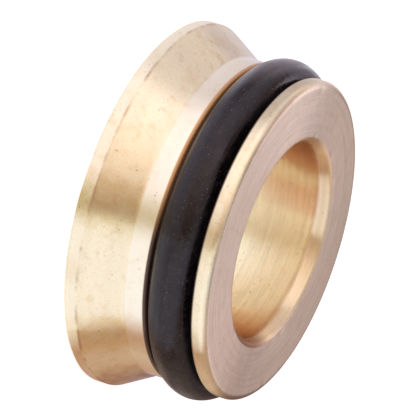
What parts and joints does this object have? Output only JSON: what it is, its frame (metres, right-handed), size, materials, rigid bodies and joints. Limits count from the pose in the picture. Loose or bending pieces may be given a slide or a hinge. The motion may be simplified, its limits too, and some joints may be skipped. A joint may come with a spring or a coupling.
{
  "type": "eurocone adapter",
  "caption": "Turned brass ring with a sealing cone, a grooved nose that holds a black O-ring, and a plain bore; plugs into a heating outlet with an inner cone and offers a flat gasket face.",
  "frame": {"origin": "centre of the rear gasket face, on the axis; the part stands on that face", "axes": "+Z along the bore's axis, from the gasket face towards the nose; X and Y are free, because the part is round"},
  "size_m": [0.0204, 0.0204, 0.0079],
  "materials": {
    "brass": "turned, fine lathe marks",
    "rubber": "satin black, moulded"
  },
  "bodies": {
    "root": {"adapter_body": "brass", "o_ring": "rubber"}
  },
  "joints": []
}
